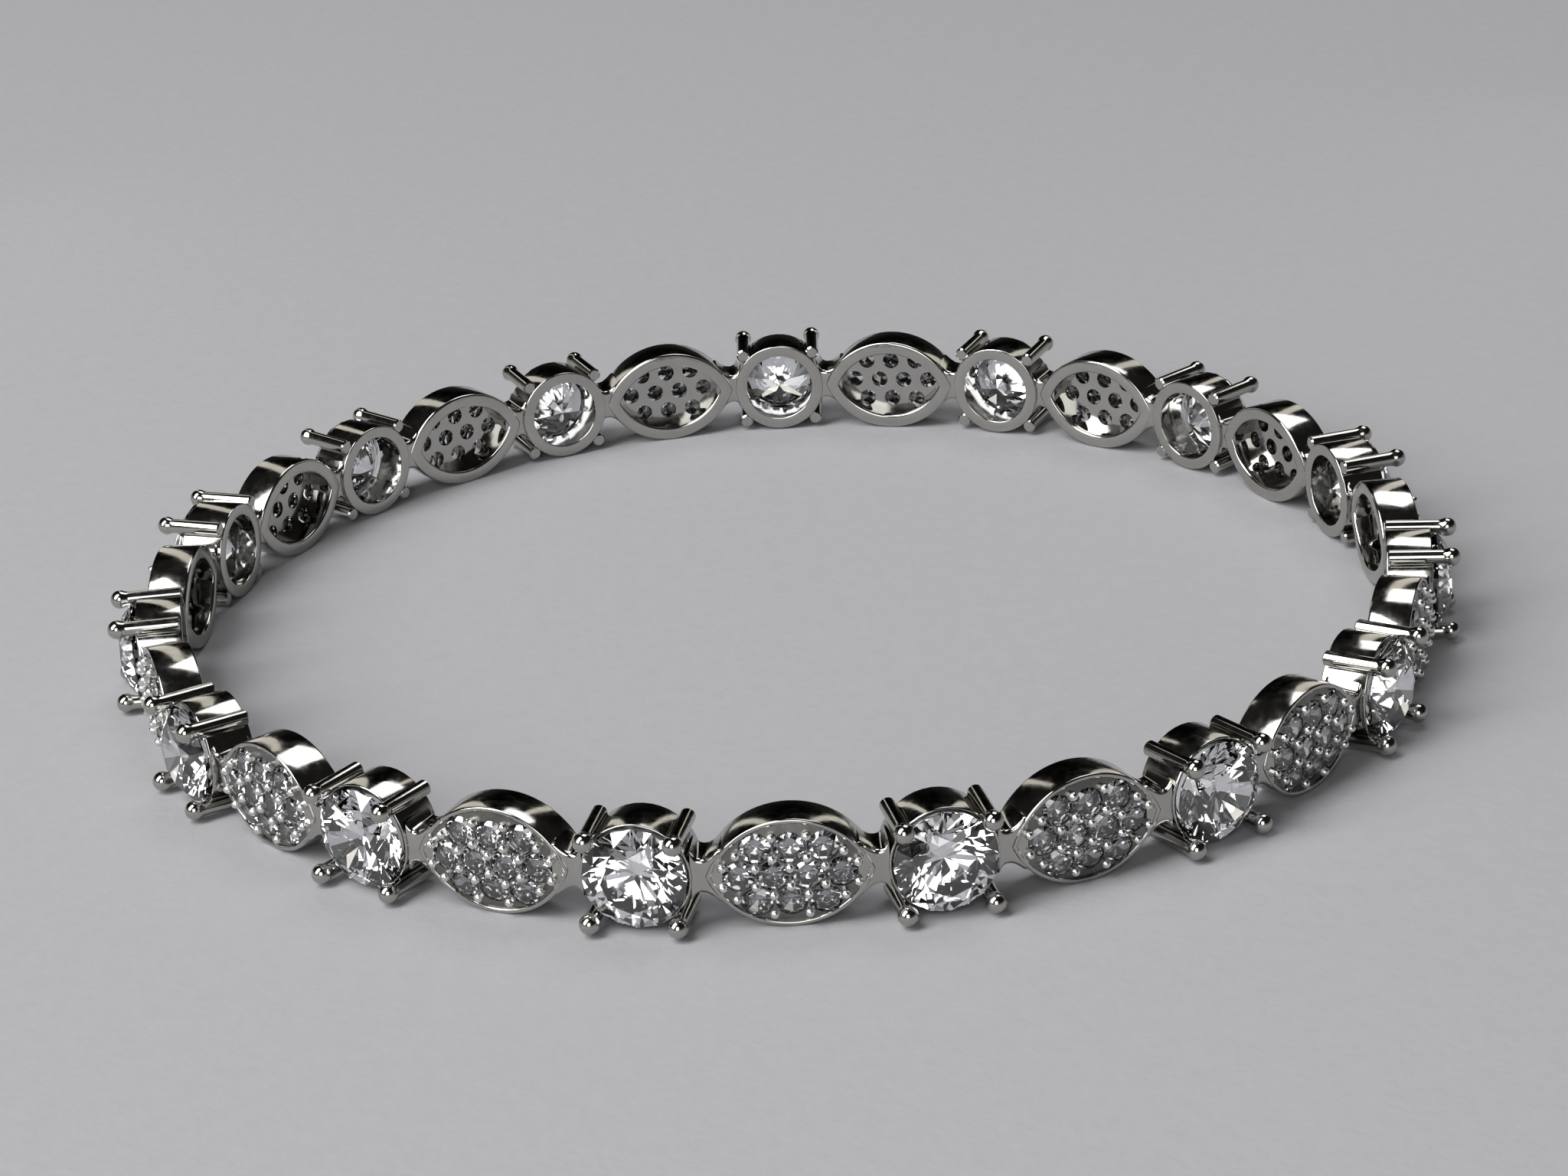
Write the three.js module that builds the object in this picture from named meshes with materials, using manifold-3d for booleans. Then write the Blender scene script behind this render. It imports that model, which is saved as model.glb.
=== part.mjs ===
// A slip-on bangle: fifteen round claw settings take turns with fifteen pointed-oval panels,
// joined by short necks into one cast ring. Millimetres, +Z up, the ring's axis along Z.
import * as THREE from "three";
import { ConvexGeometry } from "three/addons/geometries/ConvexGeometry.js";
import { mergeVertices } from "three/addons/utils/BufferGeometryUtils.js";
import Module from "manifold-3d";

// ---- The hoop. Every depth is a distance from the ring's axis ----
const SETTINGS = 15; // round settings, and as many panels between them
const PITCH = (2 * Math.PI) / SETTINGS;
const FLAT_BACK = 30.15; // of settings and panels: a wrist opening 60.3 across

// ---- Round claw setting ----
const STONE_RADIUS = 2.375;
const GIRDLE_DEPTH = 32.63; // where the stone is widest
const COLLAR_RADIUS = 2.58;
const COLLAR_FRONT = 32.45;
const BACK_HOLE_RADIUS = 1.87; // open under the stone
const COLLAR_SIDES = 12;
const CLAW_REACH = 2.8; // from the stone's axis to each claw, on the diagonals
const CLAW_RADIUS = 0.36;
const CLAW_BALL_RADIUS = 0.47;
const CLAW_BALL_DEPTH = 33.3;
const CLAW_BACK = 30.25;
const CLAW_SIDES = 5;
const CLAWS = 4;

// ---- Round brilliant stone ----
const TABLE_SHARE = 0.57; // of the stone's radius
const CROWN_ANGLE = THREE.MathUtils.degToRad(34.5);
const PAVILION_ANGLE = THREE.MathUtils.degToRad(40.8);
const GIRDLE_THICKNESS = 0.08;
const STAR_REACH = 0.5; // of the way from the table's edge to the girdle
const LOWER_REACH = 0.78; // of the way from the girdle to the point
const MAINS = 8;
const SEAT_GAP = 0.2; // between the stone and the cone that it sits in

// ---- Pointed-oval panel with ten small stones ----
const PANEL_HALF_LENGTH = 3.7;
const PANEL_HALF_HEIGHT = 2.64;
const PANEL_FRONT = 32.2;
const PANEL_WALL = 0.72; // round the open back
const PANEL_PLATE = 1; // thickness of the front plate
const ARC_STEPS = 7; // odd, so that each arc has a level facet in its middle
const SMALL_RADIUS = 0.6;
const SMALL_RISE = 0.3;
const SMALL_SIDES = 5;
const SMALL_SPACING = 1.52; // along a row
const SMALL_ROW_SPACING = SMALL_SPACING * Math.sin(Math.PI / 3);
const SMALL_ROWS = [
  { row: -1, stones: 3 },
  { row: 0, stones: 4 },
  { row: 1, stones: 3 },
];

// ---- Neck between a setting and a panel ----
const NECK_BACK = 30.45;
const NECK_FRONT = 32.33;
const NECK_FROM = -1.13; // inside the collar, counted from halfway between the two centres
const NECK_TO = 0.25; // inside the panel's tip
const NECK_END = 1; // half height where it flares into its neighbours
const NECK_WAIST = 0.73; // half height in the middle
const NECK_STEPS = 2;

const SINK = 0.05; // how deep a joined piece is let into the one that carries it

const wasm = await Module();
wasm.setup();

// ---- Solids ----

// A closed mesh as a solid that can be joined and cut.
function toSolid(geometry) {
  const bare = geometry.clone();
  bare.deleteAttribute("normal");
  bare.deleteAttribute("uv");
  const merged = mergeVertices(bare, 1e-5);
  const mesh = new wasm.Mesh({
    numProp: 3,
    vertProperties: merged.attributes.position.array,
    triVerts: new Uint32Array(merged.index.array),
  });
  return new wasm.Manifold(mesh);
}

function toGeometry(solid) {
  const mesh = solid.getMesh();
  const geometry = new THREE.BufferGeometry();
  geometry.setAttribute("position", new THREE.BufferAttribute(mesh.vertProperties, 3));
  geometry.setIndex(new THREE.BufferAttribute(mesh.triVerts, 1));
  return geometry;
}

function join(geometries) {
  return toGeometry(geometries.map(toSolid).reduce((whole, piece) => whole.add(piece)));
}

function cut(geometry, cutter) {
  return toGeometry(toSolid(geometry).subtract(toSolid(cutter)));
}

// ---- Local frame of a setting, panel or neck: X along the ring, Y up, Z outwards ----

// A turned shape from pairs of radius and depth.
function turned(profile, sides, firstAngle = 0) {
  const points = profile.map(([radius, depth]) => new THREE.Vector2(radius, depth));
  return new THREE.LatheGeometry(points, sides, firstAngle).rotateX(Math.PI / 2);
}

// A flat outline, run from one depth to another.
function slab(outline, fromDepth, toDepth) {
  const options = { depth: toDepth - fromDepth, bevelEnabled: false };
  return new THREE.ExtrudeGeometry(new THREE.Shape(outline), options).translate(0, 0, fromDepth);
}

// Stands that frame up and turns it round the ring, from the front (-Y) towards +X.
function roundTheRing(geometry, angle) {
  return geometry.clone().rotateX(Math.PI / 2).rotateZ(angle);
}

// ---- Setting ----

function claw() {
  const neckDrop = Math.sqrt(CLAW_BALL_RADIUS ** 2 - CLAW_RADIUS ** 2);
  const slant = CLAW_BALL_RADIUS * Math.SQRT1_2;
  const profile = [
    [0, CLAW_BACK],
    [CLAW_RADIUS, CLAW_BACK],
    [CLAW_RADIUS, CLAW_BALL_DEPTH - neckDrop],
    [CLAW_BALL_RADIUS, CLAW_BALL_DEPTH],
    [slant, CLAW_BALL_DEPTH + slant],
    [0, CLAW_BALL_DEPTH + CLAW_BALL_RADIUS],
  ];
  const flatToStone = Math.PI / (2 * CLAW_SIDES);
  return turned(profile, CLAW_SIDES, flatToStone);
}

// A drum with a round hole in its back and a conical seat that follows the stone.
function collar() {
  const slope = Math.tan(PAVILION_ANGLE);
  const seatDepth = (radius) =>
    GIRDLE_DEPTH - SEAT_GAP / Math.cos(PAVILION_ANGLE) - (STONE_RADIUS - radius) * slope;
  const lipRadius = STONE_RADIUS + (COLLAR_FRONT - seatDepth(STONE_RADIUS)) / slope;
  const profile = [
    [BACK_HOLE_RADIUS, FLAT_BACK],
    [COLLAR_RADIUS, FLAT_BACK],
    [COLLAR_RADIUS, COLLAR_FRONT],
    [lipRadius, COLLAR_FRONT],
    [BACK_HOLE_RADIUS, seatDepth(BACK_HOLE_RADIUS)],
    [BACK_HOLE_RADIUS, FLAT_BACK],
  ];
  return turned(profile, COLLAR_SIDES, Math.PI / COLLAR_SIDES);
}

function setting() {
  const pieces = [collar()];
  for (let index = 0; index < CLAWS; index++) {
    const diagonal = ((index + 0.5) * 2 * Math.PI) / CLAWS;
    pieces.push(claw().translate(CLAW_REACH, 0, 0).rotateZ(diagonal));
  }
  return join(pieces);
}

// ---- Panel ----

// Two equal arcs that meet in a point at each end, moved inwards by an inset.
const ARC_RADIUS = (PANEL_HALF_LENGTH ** 2 + PANEL_HALF_HEIGHT ** 2) / (2 * PANEL_HALF_HEIGHT);
const ARC_CENTRE = ARC_RADIUS - PANEL_HALF_HEIGHT;

function pointedOval(inset) {
  const radius = ARC_RADIUS - inset;
  const halfSweep = Math.acos(ARC_CENTRE / radius);
  const outline = [];
  for (const side of [1, -1]) {
    for (let step = 0; step < ARC_STEPS; step++) {
      const angle = halfSweep * (1 - (2 * step) / ARC_STEPS);
      const along = side * radius * Math.sin(angle);
      const up = side * (radius * Math.cos(angle) - ARC_CENTRE);
      outline.push(new THREE.Vector2(along, up));
    }
  }
  return outline;
}

// Only the crown of a small stone stands out of the plate.
function smallStone() {
  const height = SMALL_RISE + SINK;
  const crown = new THREE.ConeGeometry(SMALL_RADIUS, height, SMALL_SIDES);
  return crown.rotateX(Math.PI / 2).translate(0, 0, PANEL_FRONT - SINK + height / 2);
}

function panel() {
  const block = slab(pointedOval(0), FLAT_BACK, PANEL_FRONT);
  const hollow = slab(pointedOval(PANEL_WALL), FLAT_BACK - 1, PANEL_FRONT - PANEL_PLATE);
  const pieces = [cut(block, hollow)];
  for (const { row, stones } of SMALL_ROWS) {
    for (let place = 0; place < stones; place++) {
      const along = (place - (stones - 1) / 2) * SMALL_SPACING;
      pieces.push(smallStone().translate(along, row * SMALL_ROW_SPACING, 0));
    }
  }
  return join(pieces);
}

// ---- Neck, from a setting on its left to a panel on its right ----

function neck() {
  const middle = (NECK_FROM + NECK_TO) / 2;
  const pull = 2 * NECK_WAIST - NECK_END;
  const edge = (side, from, to) => {
    const start = new THREE.Vector2(from, side * NECK_END);
    const end = new THREE.Vector2(to, side * NECK_END);
    return new THREE.QuadraticBezierCurve(start, new THREE.Vector2(middle, side * pull), end);
  };
  const below = edge(-1, NECK_FROM, NECK_TO).getPoints(NECK_STEPS);
  const above = edge(1, NECK_TO, NECK_FROM).getPoints(NECK_STEPS);
  return slab([...below, ...above], NECK_BACK, NECK_FRONT);
}

// ---- The whole casting: one setting, one panel and two necks, repeated round the ring ----

function metalFrame() {
  const link = join([
    roundTheRing(setting(), 0),
    roundTheRing(neck(), PITCH / 4),
    roundTheRing(panel(), PITCH / 2),
    roundTheRing(neck().rotateZ(Math.PI), (3 * PITCH) / 4),
  ]);
  const links = [];
  for (let index = 0; index < SETTINGS; index++) {
    links.push(link.clone().rotateZ((index + 0.5) * PITCH));
  }
  return join(links);
}

// ---- Round brilliant: the hull of its corners, table outwards ----

function brilliant() {
  const tableRadius = STONE_RADIUS * TABLE_SHARE;
  const crown = (STONE_RADIUS - tableRadius) * Math.tan(CROWN_ANGLE);
  const pavilion = STONE_RADIUS * Math.tan(PAVILION_ANGLE);
  const halfMain = Math.cos(Math.PI / MAINS);
  const starRadius = THREE.MathUtils.lerp(tableRadius * halfMain, STONE_RADIUS, STAR_REACH);
  const starHeight = crown - (starRadius * halfMain - tableRadius) * Math.tan(CROWN_ANGLE);
  const lowerRadius = STONE_RADIUS * (1 - LOWER_REACH);
  const lowerHeight = lowerRadius * halfMain * Math.tan(PAVILION_ANGLE) - pavilion;
  const halfGirdle = GIRDLE_THICKNESS / 2;
  const tiers = [
    { corners: MAINS, turn: 0, radius: tableRadius, height: crown + halfGirdle },
    { corners: MAINS, turn: 0.5, radius: starRadius, height: starHeight + halfGirdle },
    { corners: 2 * MAINS, turn: 0, radius: STONE_RADIUS, height: halfGirdle },
    { corners: 2 * MAINS, turn: 0, radius: STONE_RADIUS, height: -halfGirdle },
    { corners: MAINS, turn: 0.5, radius: lowerRadius, height: lowerHeight - halfGirdle },
    { corners: 1, turn: 0, radius: 0, height: -pavilion - halfGirdle },
  ];
  const points = [];
  for (const { corners, turn, radius, height } of tiers) {
    for (let index = 0; index < corners; index++) {
      const angle = ((index + turn) * 2 * Math.PI) / corners;
      points.push(new THREE.Vector3(radius * Math.cos(angle), radius * Math.sin(angle), height));
    }
  }
  return new ConvexGeometry(points);
}

// ---- Assembly ----

const platedMetal = new THREE.MeshStandardMaterial({ color: 0xc9c9c6, metalness: 1, roughness: 0.12 });
const clearStone = new THREE.MeshStandardMaterial({ color: 0xe9edf5, metalness: 0, roughness: 0.03 });

const bangle = new THREE.Group();

const frame = new THREE.Mesh(metalFrame(), platedMetal);
frame.name = "metal_frame";
bangle.add(frame);

for (let index = 0; index < SETTINGS; index++) {
  const angle = (index + 0.5) * PITCH;
  const stone = new THREE.Mesh(brilliant(), clearStone);
  stone.name = `round_stone_${String(index + 1).padStart(2, "0")}`;
  stone.position.set(GIRDLE_DEPTH * Math.sin(angle), -GIRDLE_DEPTH * Math.cos(angle), 0);
  stone.rotation.set(Math.PI / 2, 0, angle, "ZYX");
  bangle.add(stone);
}

// The origin is under the middle of the whole, on the surface that the ring lies on.
const bounds = new THREE.Box3().setFromObject(bangle, true);
const middle = bounds.getCenter(new THREE.Vector3());
bangle.position.set(-middle.x, -middle.y, -bounds.min.z);

export default bangle;
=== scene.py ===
# %% [markdown]
# # A pave bangle, dressed for its portrait
# The bangle is one closed cast ring, plated bright. Fifteen round claw settings take turns with
# fifteen pointed-oval panels, and short necks join them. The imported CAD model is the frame: it says
# where the ring lies and how large it is, and every new piece is fitted to it.

# %% The frame
import math

import bmesh
import bpy
from mathutils import Matrix, Vector


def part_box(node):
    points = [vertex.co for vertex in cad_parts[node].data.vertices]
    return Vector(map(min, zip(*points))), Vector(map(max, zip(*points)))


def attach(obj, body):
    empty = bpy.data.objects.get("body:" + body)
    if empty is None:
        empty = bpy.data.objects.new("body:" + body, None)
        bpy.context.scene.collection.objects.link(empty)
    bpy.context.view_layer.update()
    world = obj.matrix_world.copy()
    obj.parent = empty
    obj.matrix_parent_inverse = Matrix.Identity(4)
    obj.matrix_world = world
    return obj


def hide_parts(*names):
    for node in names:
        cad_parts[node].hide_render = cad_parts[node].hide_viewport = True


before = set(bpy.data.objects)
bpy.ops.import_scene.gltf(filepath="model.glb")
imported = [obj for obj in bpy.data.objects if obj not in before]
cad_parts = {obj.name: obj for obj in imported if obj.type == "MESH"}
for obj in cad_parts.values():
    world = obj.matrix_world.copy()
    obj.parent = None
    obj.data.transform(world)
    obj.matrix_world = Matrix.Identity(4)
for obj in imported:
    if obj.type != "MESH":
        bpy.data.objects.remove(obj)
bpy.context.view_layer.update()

# %% [markdown]
# ## A bench in millimetres
# Jewellery is small, and operators work best on numbers near one. So pieces are made on a bench
# whose unit is a millimetre and whose origin is the middle of the ring, and are shrunk to metres
# and moved to the ring when they are done. The round stones are spaced evenly, so the mean of all
# their corners is that middle. Each piece is first made at the front, facing -Y: X runs along the
# ring, -Y is the depth out from the ring's axis, and Z is up.

# %% The bench
MM = 0.001
STONES = sorted(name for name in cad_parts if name.startswith("round_stone"))
corners = [v.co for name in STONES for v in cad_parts[name].data.vertices]
MIDDLE = sum(corners, Vector()) / len(corners)
PITCH = 2 * math.pi / len(STONES)
FIRST_SETTING = PITCH / 2  # a panel is centred at the front
FLAT_BACK = 30.15


def at(along, depth, up):
    """A point on the bench, for a piece made at the front."""
    return Vector((along, -depth, up))


print("middle of the ring", MIDDLE, "with", len(STONES), "settings")

# %% [markdown]
# ## Working by hand, in code
# An operator acts on what is selected, so each step first says what that is. Faces, edges and
# vertices are picked by a test on their centre, given as along, depth and up.

# %% Picking and finishing
def nothing_picked():
    """Back to object mode, with nothing selected."""
    if bpy.context.object and bpy.context.object.mode != "OBJECT":
        bpy.ops.object.mode_set(mode="OBJECT")
    bpy.ops.object.select_all(action="DESELECT")


def only(obj):
    """In object mode, selects obj alone and makes it the active one."""
    nothing_picked()
    obj.select_set(True)
    bpy.context.view_layer.objects.active = obj
    return obj


def settle(obj):
    """Puts an object's place, turn and scale into its mesh, so that it sits at the origin."""
    only(obj)
    bpy.ops.object.transform_apply(location=True, rotation=True, scale=True)
    return obj


def edit(obj, mode="FACE"):
    """Opens an object in edit mode, with nothing of its mesh selected."""
    only(obj)
    bpy.ops.object.mode_set(mode="EDIT")
    bpy.ops.mesh.select_mode(type=mode)
    bpy.ops.mesh.select_all(action="DESELECT")


def pick(obj, kind, test):
    """In edit mode, selects just the faces, edges or verts whose centre passes the test."""
    bpy.ops.mesh.select_all(action="DESELECT")
    mesh = bmesh.from_edit_mesh(obj.data)
    found = 0
    for item in getattr(mesh, kind):
        corners = [item.co] if kind == "verts" else [v.co for v in item.verts]
        centre = sum(corners, Vector()) / len(corners)
        if test(centre.x, -centre.y, centre.z, item):
            item.select_set(True)
            found += 1
    mesh.select_flush_mode()
    bmesh.update_edit_mesh(obj.data)
    return found


def applied(obj, kind, **settings):
    """Adds a modifier, sets it and applies it."""
    only(obj)
    modifier = obj.modifiers.new(kind.lower(), kind)
    for key, value in settings.items():
        setattr(modifier, key, value)
    bpy.ops.object.modifier_apply(modifier=modifier.name)
    return obj


def joined(pieces, name):
    """Joins pieces into one object with a new name."""
    only(pieces[0])
    for piece in pieces:
        piece.select_set(True)
    bpy.ops.object.join()
    bpy.context.object.name = name
    return bpy.context.object


def copy_of(obj):
    """A copy with a mesh of its own."""
    only(obj)
    bpy.ops.object.duplicate(linked=False)
    return bpy.context.object


def round_the_ring(obj, first):
    """Turns a piece made at the front to its first place, and repeats it once every pitch."""
    obj.rotation_euler.z = first
    settle(obj)
    nothing_picked()
    bpy.ops.object.empty_add(rotation=(0, 0, PITCH))
    step = bpy.context.object
    applied(obj, "ARRAY", count=len(STONES), use_relative_offset=False,
            use_object_offset=True, offset_object=step)
    bpy.data.objects.remove(step)
    return obj


def report(obj):
    """Prints how large a piece is, and how many triangles it has."""
    only(obj)
    triangles = sum(len(p.vertices) - 2 for p in obj.data.polygons)
    low = [round(min(v.co[i] for v in obj.data.vertices), 2) for i in range(3)]
    high = [round(max(v.co[i] for v in obj.data.vertices), 2) for i in range(3)]
    print(f"{obj.name}: {triangles} triangles, from {low} to {high}")


# %% [markdown]
# ## The collars
# Each round stone sits in a drum, open behind so that light passes through the stone. A turner
# would bore it; here a cylinder is inset and extruded from both ends until the conical seat in
# front meets the hole behind, and then its edges are rounded as polishing rounds them.

# %% Collars
COLLAR_RADIUS = 2.5
COLLAR_FRONT = 32.4
COLLAR_LIP = 2.36
BACK_HOLE = 1.87
SEAT_BOTTOM = 31.9
COLLAR_ROUNDING = 0.065
FINE = 1e-4  # how exactly a place has to match in a test
MERGE = 0.01  # corners nearer than this become one


def cylinder(name, sides, radius, back, front, up=0.0):
    """A cylinder that lies along the depth, from its back to its front."""
    nothing_picked()
    bpy.ops.mesh.primitive_cylinder_add(
        vertices=sides, radius=radius, depth=front - back,
        location=at(0, (front + back) / 2, up), rotation=(math.pi / 2, 0, 0))
    bpy.context.object.name = name
    return settle(bpy.context.object)


def end_face(depth):
    """A test for the end face at a depth."""
    return lambda along, out, up, face: abs(out - depth) < FINE and abs(face.normal.y) > 1 - FINE


def push(depth_by, shrink=1.0, about=(0, 0, 0)):
    """Extrudes what is selected, moves it outwards and scales it across."""
    bpy.ops.mesh.extrude_region_move()
    bpy.ops.transform.translate(value=(0, -depth_by, 0))
    if shrink != 1.0:
        bpy.ops.transform.resize(value=(shrink, 1, shrink), center_override=about)


collars = cylinder("collars", 40, COLLAR_RADIUS, FLAT_BACK, COLLAR_FRONT)
edit(collars)
pick(collars, "faces", end_face(COLLAR_FRONT))
bpy.ops.mesh.inset(thickness=COLLAR_RADIUS - COLLAR_LIP)
push(SEAT_BOTTOM - COLLAR_FRONT, BACK_HOLE / COLLAR_LIP)
bpy.ops.mesh.delete(type="ONLY_FACE")
pick(collars, "faces", end_face(FLAT_BACK))
bpy.ops.mesh.inset(thickness=COLLAR_RADIUS - BACK_HOLE)
push(SEAT_BOTTOM - FLAT_BACK)
bpy.ops.mesh.delete(type="ONLY_FACE")
bpy.ops.mesh.select_all(action="SELECT")
bpy.ops.mesh.remove_doubles(threshold=MERGE)
applied(collars, "BEVEL", width=COLLAR_ROUNDING, segments=3, limit_method="ANGLE",
        angle_limit=math.radians(35))
report(collars)

# %% [markdown]
# ## The claws
# Four straight wires stand along each collar and end in balls at the stone's edge. A goldsmith
# melts the ball on the wire's end; here a small sphere loses its back and the open edge is drawn
# out backwards into the wire. One claw is mirrored sideways and down to make the four.

# %% Claws
CLAW_OFFSET = 1.98  # from the stone's axis, along the ring and up
CLAW_RADIUS = 0.37
BALL_RADIUS = 0.475
BALL_DEPTH = 33.3
CLAW_BACK = FLAT_BACK + 0.05
BALL_CUT = math.radians(30)  # how far behind its equator the ball turns into the wire
CUT_RADIUS = BALL_RADIUS * math.cos(BALL_CUT)
CUT_DEPTH = BALL_DEPTH - BALL_RADIUS * math.sin(BALL_CUT)
CLAW_CHAMFER = 0.08  # at the wire's back end
CLAW_PROFILE = [  # radius and depth, from the ball to the back
    (0.385, CUT_DEPTH - 0.08),
    (CLAW_RADIUS, CUT_DEPTH - 0.2),
    (CLAW_RADIUS, CLAW_BACK + CLAW_CHAMFER),
    (CLAW_RADIUS - CLAW_CHAMFER, CLAW_BACK),
]

nothing_picked()
bpy.ops.mesh.primitive_uv_sphere_add(
    segments=16, ring_count=12, radius=BALL_RADIUS,
    location=at(CLAW_OFFSET, BALL_DEPTH, CLAW_OFFSET), rotation=(math.pi / 2, 0, 0))
claws = settle(bpy.context.object)
claws.name = "claws"
edit(claws, "VERT")
pick(claws, "verts", lambda along, out, up, v: out < CUT_DEPTH - FINE)
bpy.ops.mesh.delete(type="VERT")
bpy.ops.mesh.select_mode(type="EDGE")
pick(claws, "edges", lambda along, out, up, e: e.is_boundary)
claw_axis = at(CLAW_OFFSET, BALL_DEPTH, CLAW_OFFSET)
radius, depth = CUT_RADIUS, CUT_DEPTH
for next_radius, next_depth in CLAW_PROFILE:
    push(next_depth - depth, next_radius / radius, claw_axis)
    radius, depth = next_radius, next_depth
bpy.ops.mesh.edge_face_add()
applied(claws, "MIRROR", use_axis=(True, False, True), use_mirror_merge=False)
report(claws)

# %% [markdown]
# ## Pointed ovals
# A panel is a cup with straight walls, open behind, whose front plate is drilled for the stones.
# Its outline is two equal arcs. A drum of the arcs' radius is cut through off its middle, and the
# slice is mirrored, which is how a draughtsman gets the same lens shape from two circles.

# %% Half a lens, mirrored
HALF_LENGTH = 3.7
HALF_HEIGHT = (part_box("metal_frame")[1].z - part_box("metal_frame")[0].z) / 2 / MM
PANEL_FRONT = 32.2


def arcs(half_length, half_height):
    """The radius of a pointed oval's two arcs, and how far their centres lie from its middle."""
    radius = (half_length**2 + half_height**2) / (2 * half_height)
    return radius, radius - half_height


def lens(name, radius, off_middle, back, front, sides=96):
    """A pointed-oval block: a slice of a drum, and its mirror image."""
    obj = cylinder(name, sides, radius, back, front, up=-off_middle)
    edit(obj)
    bpy.ops.mesh.select_all(action="SELECT")
    bpy.ops.mesh.bisect(plane_co=(0, 0, 0), plane_no=(0, 0, 1), clear_inner=True)
    applied(obj, "MIRROR", use_axis=(False, False, True), merge_threshold=0.001)
    edit(obj)
    bpy.ops.mesh.select_all(action="SELECT")
    bpy.ops.mesh.dissolve_limited(angle_limit=math.radians(0.5))
    only(obj)
    return obj


ARC_RADIUS, ARC_CENTRE = arcs(HALF_LENGTH, HALF_HEIGHT)

# %% [markdown]
# ## The cup
# The block's front is inset to leave a rim and pushed in to make the recess. A smaller block is
# subtracted from behind, as a caster hollows a panel to save metal, and the sharp edges of the rim
# and of the back are rounded.

# %% The cup: rim, recess and open back
RIM = 0.23
RECESS = 0.16
PANEL_WALL = 0.72
PANEL_PLATE = 1.0
FRONT_ROUNDING = 0.085
BACK_ROUNDING = 0.13
SHARP = 1.0  # an edge is sharp if its two faces turn by more than this, in radians


def rim_edges(depth):
    """A test for the sharp edges that lie in the plane at a depth."""
    def test(along, out, up, edge):
        level = all(abs(-v.co.y - depth) < FINE for v in edge.verts)
        return level and edge.calc_face_angle(0) > SHARP
    return test


panels = lens("panels", ARC_RADIUS, ARC_CENTRE, FLAT_BACK, PANEL_FRONT)
hollow = lens("hollow", ARC_RADIUS - PANEL_WALL, ARC_CENTRE, FLAT_BACK - 1, PANEL_FRONT - PANEL_PLATE)
edit(panels)
pick(panels, "faces", end_face(PANEL_FRONT))
bpy.ops.mesh.inset(thickness=RIM)
push(-RECESS)
applied(panels, "BOOLEAN", object=hollow, operation="DIFFERENCE", solver="EXACT")
bpy.data.objects.remove(hollow)
for rim_depth, rounding in ((PANEL_FRONT, FRONT_ROUNDING), (FLAT_BACK, BACK_ROUNDING)):
    edit(panels, "EDGE")
    print("rim edges", pick(panels, "edges", rim_edges(rim_depth)))
    bpy.ops.mesh.bevel(offset=rounding, segments=3, affect="EDGES")
report(panels)

# %% [markdown]
# ## The pave field
# Inside the rim lies the field that carries the stones. It runs right up to the rim, and under
# it at the points. Its top is domed, so it is cut from a flattened ball: the part that a ball
# and a lens have in common.

# %% The domed field
FIELD_LENGTH = 3.56  # these two are halves, too
FIELD_HEIGHT = HALF_HEIGHT - RIM + 0.05
DOME = 0.32  # how far the field's middle stands out past its points
FIELD_TOP = PANEL_FRONT + 0.2
FIELD_ROOT = PANEL_FRONT - PANEL_PLATE + 0.1  # inside the plate that it is joined to
BALL = (FIELD_LENGTH**2 + DOME**2) / (2 * DOME)
FLATTEN = FIELD_HEIGHT / FIELD_LENGTH

field = lens("field", *arcs(FIELD_LENGTH, FIELD_HEIGHT), FIELD_ROOT, FIELD_TOP + DOME)
nothing_picked()
bpy.ops.mesh.primitive_uv_sphere_add(
    segments=48, ring_count=240, radius=BALL,
    location=at(0, FIELD_TOP - BALL, 0), rotation=(math.pi / 2, 0, 0))
ball = settle(bpy.context.object)
edit(ball)
bpy.ops.mesh.select_all(action="SELECT")
bpy.ops.transform.resize(value=(1, 1, FLATTEN), center_override=(0, 0, 0))
applied(field, "BOOLEAN", object=ball, operation="INTERSECT", solver="EXACT")
bpy.data.objects.remove(ball)
report(field)


def on_dome(along, up):
    """A point on the dome, and the way it faces there."""
    lift = math.sqrt(BALL**2 - along**2 - (up / FLATTEN) ** 2)
    facing = Vector((along, -lift, up / FLATTEN**2)).normalized()
    return at(along, FIELD_TOP - BALL + lift, up), facing


# %% [markdown]
# ## Drilling
# Ten stones lie in three rows, four in the middle and three above and below, as close as they
# will go. Every one gets a hole, narrow behind, so that light comes in from the back as it does
# through the big stones. In front it flares twice: to the cone that the stone rests in, and to
# the bright cut, a wide countersink that leaves only a sharp ridge between two neighbours.

# %% Seats, and the drill that makes them
SPACING = 1.5
ROW_SPACING = 1.28
SMALL_RADIUS = 0.685
MOUTH = 0.735
SEAT_RADIUS = SMALL_RADIUS + 0.01  # the stone drops in freely
SUNK = 0.1  # how far the widest part of a stone lies under the dome
SEATS = [(SPACING * (place - (count - 1) / 2), ROW_SPACING * row)
         for row, count in ((-1, 3), (0, 4), (1, 3)) for place in range(count)]


def stand_on_dome(obj, along, up):
    """Moves a piece made at the dome's middle to a place on it, facing as the dome does there."""
    place, facing = on_dome(along, up)
    turn = Vector((0, -1, 0)).rotation_difference(facing).to_matrix().to_4x4()
    obj.matrix_world = Matrix.Translation(place) @ turn @ Matrix.Translation(-at(0, FIELD_TOP, 0))
    return settle(obj)


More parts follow.
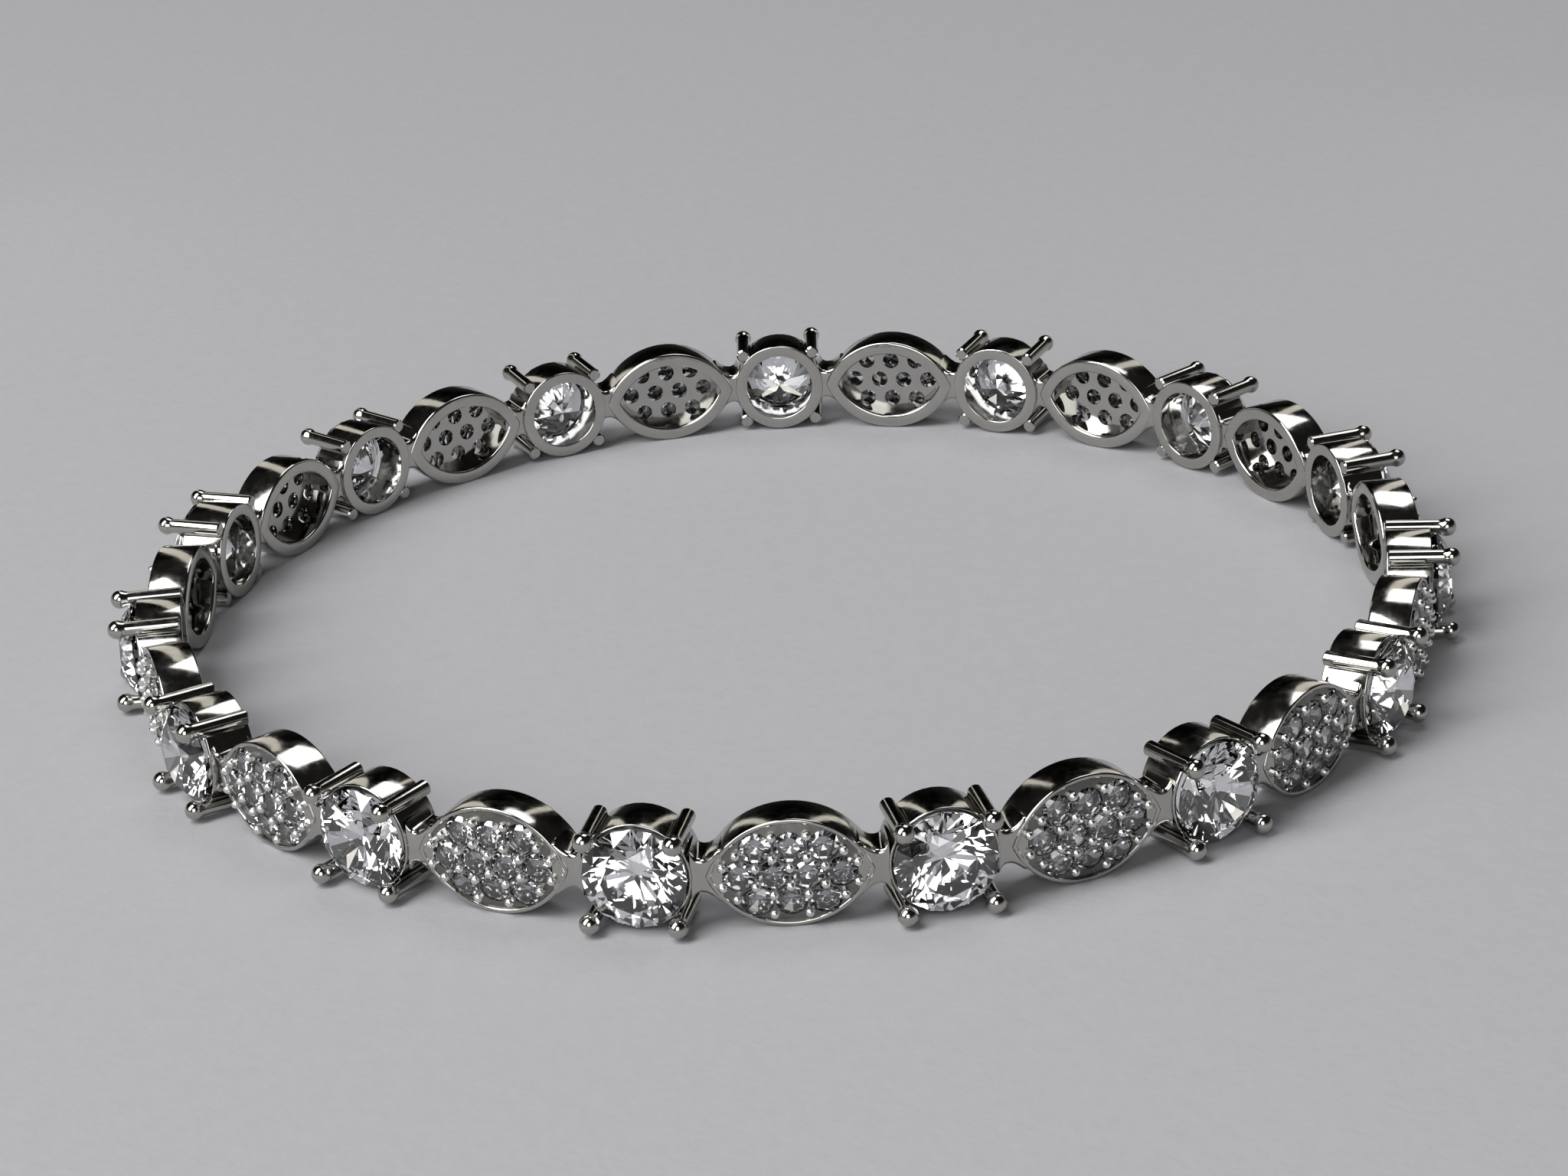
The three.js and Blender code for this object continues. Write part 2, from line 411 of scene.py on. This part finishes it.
BORE = 0.46
SEAT_DEPTH = 0.4  # of the cone that the stone rests in
BORE_TOP = FIELD_TOP - SUNK - SEAT_DEPTH
DRILL_PAST = 0.5  # the drill goes on this far past the dome, so that nothing is left standing
drill = cylinder("drill", 18, BORE, PANEL_FRONT - 2 * PANEL_PLATE, BORE_TOP)
edit(drill)
pick(drill, "faces", end_face(BORE_TOP))
push(FIELD_TOP - SUNK - BORE_TOP, SEAT_RADIUS / BORE)
push(SUNK, MOUTH / SEAT_RADIUS)
push(DRILL_PAST, 1.02)
drills = [stand_on_dome(copy_of(drill), along, up) for along, up in SEATS]
bpy.data.objects.remove(drill)
drills = joined(drills, "drills")
report(drills)
applied(panels, "BOOLEAN", object=field, operation="UNION", solver="EXACT")
bpy.data.objects.remove(field)
report(panels)
applied(panels, "BOOLEAN", object=drills, operation="DIFFERENCE", solver="EXACT", use_self=True)
bpy.data.objects.remove(drills)
report(panels)

# %% [markdown]
# ## Cleaning up after the drill
# Where cuts meet, corners land almost on each other, and they are merged. The cutter leaves them in
# an order that changes from run to run, so they are sorted first, by their distance from a point
# off to the side. Then they always merge alike.

# %% Slivers
SIDE_POINT = at(5.3, FLAT_BACK, 7.9)
SLIVER = 0.004  # corners nearer than this, in millimetres, become one

edit(panels)
bpy.ops.mesh.select_all(action="SELECT")
bpy.context.scene.cursor.location = SIDE_POINT
bpy.ops.mesh.sort_elements(type="CURSOR_DISTANCE", elements={"VERT", "EDGE", "FACE"})
bpy.context.scene.cursor.location = (0, 0, 0)
bpy.ops.mesh.remove_doubles(threshold=SLIVER)
bpy.ops.mesh.dissolve_degenerate(threshold=0.001)
report(panels)

# %% [markdown]
# ## Two materials on one casting
# The rim and the walls are polished bright. The field between the stones is duller, where the
# polishing wheel rides over it, and darker: that darker tone is painted shade, for the shade between
# the stones. A second material slot takes those faces. Both slots are made here, while the faces
# are easy to find, and get their materials further on.

# %% The field, which gets painted shade
def inside_the_rim(along, out, up, face):
    """A test for the faces of the field and of the seats in it."""
    return out > PANEL_FRONT - RECESS and math.hypot(along, abs(up) + ARC_CENTRE) < ARC_RADIUS - RIM


only(panels)
for _ in ("polished", "painted_shade"):
    bpy.ops.object.material_slot_add()
edit(panels)
print("faces inside the rim", pick(panels, "faces", inside_the_rim))
# slot 1 takes the field's faces, for their painted shade
panels.active_material_index = 1
bpy.ops.object.material_slot_assign()
nothing_picked()

# %% [markdown]
# ## Small stones
# A lapidary turns a round blank and then grinds one flat after another against it. The same is
# done here: a cylinder is the blank, and each facet is one bisect that throws away what lies
# outside it. A small stone gets a table, and sixteen facets above and below: eight mains and,
# between them, eight steeper corners. Then each is turned by an angle of its own and leans a
# little in its seat, as hand-set stones do, so that no two flash together.

# %% Cutting one small stone
CROWN_TILT = math.radians(36)
PAVILION_TILT = math.radians(41)
GIRDLE = FIELD_TOP - SUNK  # its widest place
HALF_GIRDLE = 0.02
TABLE_RISE = 0.18  # above the girdle
FACETS = 8
CORNER_TILT = math.radians(7)


def grind(tilt, girdle_depth, turn, outwards):
    """One flat that touches the blank's edge at a depth, tilted from the girdle's plane."""
    across = Vector((math.cos(turn), 0, math.sin(turn)))
    flat = across * math.sin(tilt) + Vector((0, -outwards, 0)) * math.cos(tilt)
    touch = at(0, girdle_depth, 0) + across * SMALL_RADIUS
    bpy.ops.mesh.select_all(action="SELECT")
    bpy.ops.mesh.bisect(plane_co=touch, plane_no=flat, use_fill=True, clear_outer=True)


small = cylinder("pave_stones", 2 * FACETS, SMALL_RADIUS, GIRDLE - SMALL_RADIUS, GIRDLE + TABLE_RISE)
edit(small)
for facet in range(FACETS):
    main_turn = 2 * math.pi * (facet + 0.5) / FACETS
    corner_turn = 2 * math.pi * facet / FACETS
    grind(CROWN_TILT, GIRDLE + HALF_GIRDLE, main_turn, 1)
    grind(CROWN_TILT + CORNER_TILT, GIRDLE + HALF_GIRDLE, corner_turn, 1)
    grind(PAVILION_TILT, GIRDLE - HALF_GIRDLE, main_turn, -1)
    grind(PAVILION_TILT + CORNER_TILT, GIRDLE - HALF_GIRDLE, corner_turn, -1)
report(small)

# %% Setting them
TURN_STEP = math.radians(137.5)  # no two neighbours face the light alike
LEAN = math.radians(5)  # and none sits perfectly straight in its seat
small_stones = []
for number, (along, up) in enumerate(SEATS):
    stone = copy_of(small)
    edit(stone)
    bpy.ops.mesh.select_all(action="SELECT")
    bpy.ops.transform.rotate(value=number * TURN_STEP, orient_axis="Y", center_override=(0, 0, 0))
    lean_axis = "X" if number % 2 else "Z"
    lean = LEAN * math.cos(number * TURN_STEP)
    bpy.ops.transform.rotate(value=lean, orient_axis=lean_axis, center_override=at(0, GIRDLE, 0))
    small_stones.append(stand_on_dome(stone, along, up))
bpy.data.objects.remove(small)
pave_stones = joined(small_stones, "pave_stones")
report(pave_stones)

# %% [markdown]
# ## Beads
# The small stones are held by beads, little grains of metal that stand between them and are
# pressed over their edges. Where three stones meet there is one bead, and a few more stand along
# the rim. Each is half a ball with a short stem, let into the field.

# %% Beads
BEAD_RADIUS = 0.22
BEAD_RISE = 0.18
BEAD_STEM = 0.2  # how deep it is let into the field
BEADS = [(0, 0.43), (1.5, 0.43), (2.93, 0.47), (0.75, 0.85), (2.34, 1.03), (0.76, 1.8)]
BEADS = sorted({(a * along, b * up) for along, up in BEADS for a in (-1, 1) for b in (-1, 1)})

nothing_picked()
bpy.ops.mesh.primitive_uv_sphere_add(
    segments=10, ring_count=8, radius=BEAD_RADIUS,
    location=at(0, FIELD_TOP + BEAD_RISE, 0), rotation=(math.pi / 2, 0, 0))
bead = settle(bpy.context.object)
bead.name = "bead"
edit(bead)
bpy.ops.mesh.select_all(action="SELECT")
bpy.ops.mesh.bisect(plane_co=at(0, FIELD_TOP + BEAD_RISE, 0), plane_no=(0, 1, 0), clear_outer=True)
bpy.ops.mesh.select_mode(type="EDGE")
pick(bead, "edges", lambda along, out, up, e: e.is_boundary)
push(-BEAD_RISE - BEAD_STEM)
bpy.ops.mesh.edge_face_add()
report(bead)
beads = joined([stand_on_dome(copy_of(bead), along, up) for along, up in BEADS], "beads")
bpy.data.objects.remove(bead)
report(beads)

# %% [markdown]
# ## Necks
# Between a setting and a panel the casting narrows to a short neck that flares into both. It is
# a bar, sliced across, pinched in the middle and smoothed. Turned half round, it fits the other
# side of a panel.

# %% Necks
NECK_BACK = 30.4
NECK_FRONT = 32.33
NECK_FROM = -0.95  # inside the collar, counted from halfway between the two centres
# places along the neck, and its half height at each
NECK_PROFILE = [(-0.8, 0.93), (-0.66, 0.83), (-0.5, 0.8), (-0.28, 0.84), (-0.02, 1.0), (0.28, 1.26)]
NECK_TO = NECK_PROFILE[-1][0] + 0.15  # inside the panel
NECK_SECTIONS = [(NECK_FROM, 1.2), *NECK_PROFILE, (NECK_TO, 1.25)]
NECK_ROUNDING = 0.2
CUBE_HALF = 0.5
ALONG = 0.05  # an edge whose ends lie further apart than this runs along the neck

nothing_picked()
bpy.ops.mesh.primitive_cube_add(size=1, location=at(0, (NECK_FRONT + NECK_BACK) / 2, 0))
neck = bpy.context.object
neck.name = "neck"
neck.scale = (1, NECK_FRONT - NECK_BACK, 2)
settle(neck)
edit(neck, "VERT")
pick(neck, "verts", lambda along, out, up, v: along < 0)
bpy.ops.transform.translate(value=(NECK_FROM + CUBE_HALF, 0, 0))
pick(neck, "verts", lambda along, out, up, v: along > 0)
bpy.ops.transform.translate(value=(NECK_TO - CUBE_HALF, 0, 0))
for along, _ in NECK_PROFILE:
    bpy.ops.mesh.select_all(action="SELECT")
    bpy.ops.mesh.bisect(plane_co=(along, 0, 0), plane_no=(1, 0, 0))
for place, half_height in NECK_SECTIONS:
    pick(neck, "verts", lambda along, out, up, v: abs(along - place) < MERGE)
    bpy.ops.transform.resize(value=(1, 1, half_height), center_override=(0, 0, 0))
report(neck)
edit(neck, "EDGE")
long_edges = pick(neck, "edges", lambda along, out, up, e: e.calc_face_angle(0) > SHARP
                  and abs(e.verts[0].co.x - e.verts[1].co.x) > ALONG)
print("edges along the neck", long_edges)
bpy.ops.mesh.bevel(offset=NECK_ROUNDING, segments=4, affect="EDGES")
report(neck)
other_neck = copy_of(neck)
other_neck.rotation_euler.y = math.pi
settle(other_neck)
for half, angle in ((neck, FIRST_SETTING + PITCH / 4), (other_neck, FIRST_SETTING - PITCH / 4)):
    round_the_ring(half, angle)
necks = joined([neck, other_neck], "necks")

# %% [markdown]
# ## Round the ring
# The necks already stand round the ring, because there are two kinds of them. Each other piece
# has been made once, and an array adds the rest, each turned by one pitch from the one before. The
# settings start half a pitch to the side, and the panels start at the front.

# %% Round the ring
for piece in (collars, claws):
    round_the_ring(piece, FIRST_SETTING)
for piece in (panels, pave_stones, beads):
    round_the_ring(piece, 0)

# %% [markdown]
# ## Off the bench
# The finished pieces are shrunk from millimetres to metres and moved to the ring. Smooth shading
# stops at real edges, and never touches the stones, whose facets are flat.

# %% To metres
SMOOTH_BELOW = math.radians(32)
for piece in (collars, claws, panels, beads, necks, pave_stones):
    piece.scale = (MM, MM, MM)
    piece.location = MIDDLE
    settle(piece)
    if piece is not pave_stones:
        bpy.ops.object.shade_smooth_by_angle(angle=SMOOTH_BELOW)
    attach(piece, "root")
    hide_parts("metal_frame")
    print(piece.name, len(piece.data.polygons), "faces")

# %% [markdown]
# ## Plated metal
# The casting is brass under bright rhodium, so it mirrors what is round it. Plating follows the
# polished casting, and that is never quite flat: a slow wave and a wandering polish keep
# reflections from looking machined. The beads are pressed with a tool and not polished, so they
# are duller; they are also painted lighter, a painted highlight that makes them show as bright
# dots. The metal round the small stones is darker: painted shade, for the shade between the stones.

# %% What every material is made of
def material(name):
    """A new material: it comes with its nodes, its links and its shader."""
    made = bpy.data.materials.new(name)
    made.use_nodes = True
    nodes = made.node_tree.nodes
    nodes.clear()
    shader = nodes.new("ShaderNodeBsdfPrincipled")
    output = nodes.new("ShaderNodeOutputMaterial")
    made.node_tree.links.new(shader.outputs[0], output.inputs[0])
    return made, nodes, made.node_tree.links, shader


def noise(nodes, links, per_mm, detail):
    """A noise that varies so many times in a millimetre of the piece."""
    place = nodes.new("ShaderNodeTexCoord")
    texture = nodes.new("ShaderNodeTexNoise")
    texture.inputs["Scale"].default_value = per_mm / MM
    texture.inputs["Detail"].default_value = detail
    links.new(place.outputs["Object"], texture.inputs["Vector"])
    return texture.outputs["Fac"]


def mapped(nodes, links, value, between, to, easing="LINEAR"):
    """Maps the range between two numbers to another range."""
    change = nodes.new("ShaderNodeMapRange")
    change.interpolation_type = easing
    for key, number in zip(("From Min", "From Max", "To Min", "To Max"), (*between, *to)):
        change.inputs[key].default_value = number
    links.new(value, change.inputs["Value"])
    return change.outputs["Result"]


def mottled(nodes, links, shader, dark, light, per_mm, detail):
    """Lets the colour wander between two tones."""
    ramp = nodes.new("ShaderNodeValToRGB")
    ramp.color_ramp.elements[0].color = (*dark, 1)
    ramp.color_ramp.elements[1].color = (*light, 1)
    links.new(noise(nodes, links, per_mm, detail), ramp.inputs["Fac"])
    links.new(ramp.outputs["Color"], shader.inputs["Base Color"])


def rippled(nodes, links, shader, strength, height, per_mm, detail):
    """Lets the surface rise and fall by a height in millimetres."""
    bump = nodes.new("ShaderNodeBump")
    bump.inputs["Strength"].default_value = strength
    bump.inputs["Distance"].default_value = height * MM
    links.new(noise(nodes, links, per_mm, detail), bump.inputs["Height"])
    links.new(bump.outputs["Normal"], shader.inputs["Normal"])


# %% Metal
NOISE_MIDDLE = (0.3, 0.7)  # nearly all of a noise lies between these


def bright_metal(name, dark, light, polish):
    """Polished plating: its tone, its polish and its surface all wander a little."""
    metal, nodes, links, shader = material(name)
    shader.inputs["Metallic"].default_value = 1
    mottled(nodes, links, shader, dark, light, per_mm=0.9, detail=3)
    dullness = mapped(nodes, links, noise(nodes, links, per_mm=2.5, detail=4), NOISE_MIDDLE, polish)
    links.new(dullness, shader.inputs["Roughness"])
    rippled(nodes, links, shader, strength=0.12, height=0.05, per_mm=1.3, detail=2)
    return metal


plated = bright_metal("plated metal", (0.41, 0.405, 0.385), (0.51, 0.505, 0.48), (0.07, 0.16))
# painted highlight: the beads are the same plating made much lighter, so that they show as bright dots;
# their rougher polish is real
dull_painted_bright = bright_metal("tooled metal", (0.74, 0.735, 0.72), (0.84, 0.835, 0.82), (0.2, 0.32))
# painted shade: the field's plating is darkened to stand for the shade between the small stones; its
# duller polish is real
painted_shade = bright_metal("sheltered metal", (0.15, 0.148, 0.14), (0.25, 0.247, 0.235), (0.2, 0.34))

# %% [markdown]
# ## Clear stones
# The stones are cubic zirconia, which bends light far more than glass does. Its refraction, and
# the flat facets, do the rest. The small stones get a dark smoky tint: painted shade, for the dark
# of the seats that they lie over.

# %% Stones
REFRACTION = 2.15


def clear_stone(name, dark, light):
    """A perfectly polished stone that light passes through, tinted a little."""
    stone, nodes, links, shader = material(name)
    shader.inputs["IOR"].default_value = REFRACTION
    shader.inputs["Transmission Weight"].default_value = 1
    shader.inputs["Roughness"].default_value = 0
    mottled(nodes, links, shader, dark, light, per_mm=0.5, detail=1)
    return stone


clear = clear_stone("clear stone", (0.92, 0.94, 0.995), (0.98, 0.985, 1))
# painted shade: the dark tint stands for the dark of the seats under the small stones
small_painted_shade_stone = clear_stone("small stone, painted shade", (0.24, 0.238, 0.256), (0.52, 0.517, 0.538))

# %% [markdown]
# ## Who wears what
# Each new piece takes one material, except that a panel takes two. The round stones are pieces of
# the frame, so only what their slots hold is changed.

# %% Materials on the pieces
for piece, finish in (
    (collars, plated),
    (claws, plated),
    (necks, plated),
    # the beads' lighter tone is a painted highlight
    (beads, dull_painted_bright),
    (pave_stones, small_painted_shade_stone),
):
    piece.data.materials.clear()
    piece.data.materials.append(finish)
panels.data.materials[0] = plated
# the field gets the painted shade
panels.data.materials[1] = painted_shade
for name in STONES:
    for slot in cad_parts[name].material_slots:
        slot.material = clear

# %% [markdown]
# ## The floor
# A plain pale sheet, matt and very slightly uneven, so that it is not lit all alike.

# %% Floor
nothing_picked()
bpy.ops.mesh.primitive_plane_add(size=3)
floor = bpy.context.object
floor.name = "floor"
sheet, nodes, links, shader = material("pale floor")
mottled(nodes, links, shader, (0.37, 0.37, 0.391), (0.405, 0.405, 0.427), per_mm=0.9, detail=6)
shader.inputs["Roughness"].default_value = 0.8
rippled(nodes, links, shader, strength=0.25, height=0.1, per_mm=2, detail=4)
floor.data.materials.append(sheet)

# %% [markdown]
# ## The room
# Polished metal shows its surroundings, so a dark room matters as much as the lamps: it gives the
# walls of the settings the blacks that make their brights look bright. Only low down is there a
# faint warm glow, as from a far wall, and straight behind the ring even that is missing.

# %% Room
SKY_HEIGHTS = (0.05, 0.37)  # the glow fades between these, as the sine of the height
GLOW = (0.3, 0.015)  # its strength below and above
BEHIND = (0.45, 0.8)  # and between these, towards straight behind
BEHIND_SHARE = (1, 0.06)  # what is left of it there
world = bpy.data.worlds.new("room")
bpy.context.scene.world = world
world.use_nodes = True
nodes, links = world.node_tree.nodes, world.node_tree.links
backdrop = nodes["Background"]
backdrop.inputs["Color"].default_value = (1, 0.975, 0.93, 1)
way = nodes.new("ShaderNodeSeparateXYZ")
links.new(nodes.new("ShaderNodeTexCoord").outputs["Generated"], way.inputs[0])
strength = nodes.new("ShaderNodeMath")
strength.operation = "MULTIPLY"
links.new(mapped(nodes, links, way.outputs["Z"], SKY_HEIGHTS, GLOW, "SMOOTHSTEP"), strength.inputs[0])
links.new(mapped(nodes, links, way.outputs["Y"], BEHIND, BEHIND_SHARE, "SMOOTHSTEP"), strength.inputs[1])
links.new(strength.outputs["Value"], backdrop.inputs["Strength"])

# %% [markdown]
# ## The lamps
# A tall soft window at the upper left does most of the work, a smaller one in front fills in, and
# a skylight from behind keeps the back of the ring from going flat. Two narrow pale cards stand
# close behind the ring. They show as soft streaks in the walls at its ends, and are kept from
# lighting the floor.

# %% Lamps


def soft_lamp(name, place, width, height, brightness, colour=(1, 1, 1)):
    """A soft rectangular lamp that faces the ring, as bright to look at as the number says."""
    nothing_picked()
    bpy.ops.object.light_add(type="AREA", location=place)
    lamp = bpy.context.object
    lamp.name = name
    lamp.data.shape = "RECTANGLE"
    lamp.data.size = width
    lamp.data.size_y = height
    lamp.data.energy = brightness * math.pi * width * height
    lamp.data.color = colour
    lamp.rotation_euler = (MIDDLE - Vector(place)).to_track_quat("-Z", "Y").to_euler()
    return lamp


soft_lamp("left window", (-0.54, -0.31, 0.65), width=0.45, height=0.98, brightness=8.2,
          colour=(1, 0.99, 0.97))
soft_lamp("front window", (-0.07, -0.86, 0.4), width=0.5, height=0.58, brightness=2.8)
soft_lamp("skylight", (0.2, 0.42, 0.8), width=0.45, height=0.45, brightness=2.6)
for side, name in ((-1, "left card"), (1, "right card")):
    card = soft_lamp(name, (0.0425 * side, 0.068, 0.05), width=0.01, height=0.1, brightness=1,
                     colour=(1, 0.95, 0.84))
    card.visible_diffuse = False

# %% [markdown]
# ## The camera
# It looks down on the ring from in front, at about 23 degrees, through a long lens. The Standard
# view keeps whites white and blacks black, which is what makes polished metal and stones look hard.

# %% Camera
ELEVATION = 0.39336  # in radians
AZIMUTH = math.radians(0.827)
DISTANCE = 6.10 * BALL_DEPTH * MM  # about three times the ring's width
ROLL = 0.0603  # in radians: the camera is held a little askew
camera_data = bpy.data.cameras.new("camera")
camera_data.sensor_width = 36
camera_data.lens = 92
camera = bpy.data.objects.new("camera", camera_data)
bpy.context.scene.collection.objects.link(camera)
level = Vector((math.sin(AZIMUTH), -math.cos(AZIMUTH), 0)) * math.cos(ELEVATION)
camera.location = MIDDLE + (level + Vector((0, 0, math.sin(ELEVATION)))) * DISTANCE
aim = (MIDDLE - camera.location).to_track_quat("-Z", "Y").to_matrix().to_4x4()
camera.matrix_world = Matrix.Translation(camera.location) @ aim @ Matrix.Rotation(-ROLL, 4, "Z")
bpy.context.scene.camera = camera
bpy.context.scene.view_settings.view_transform = "Standard"
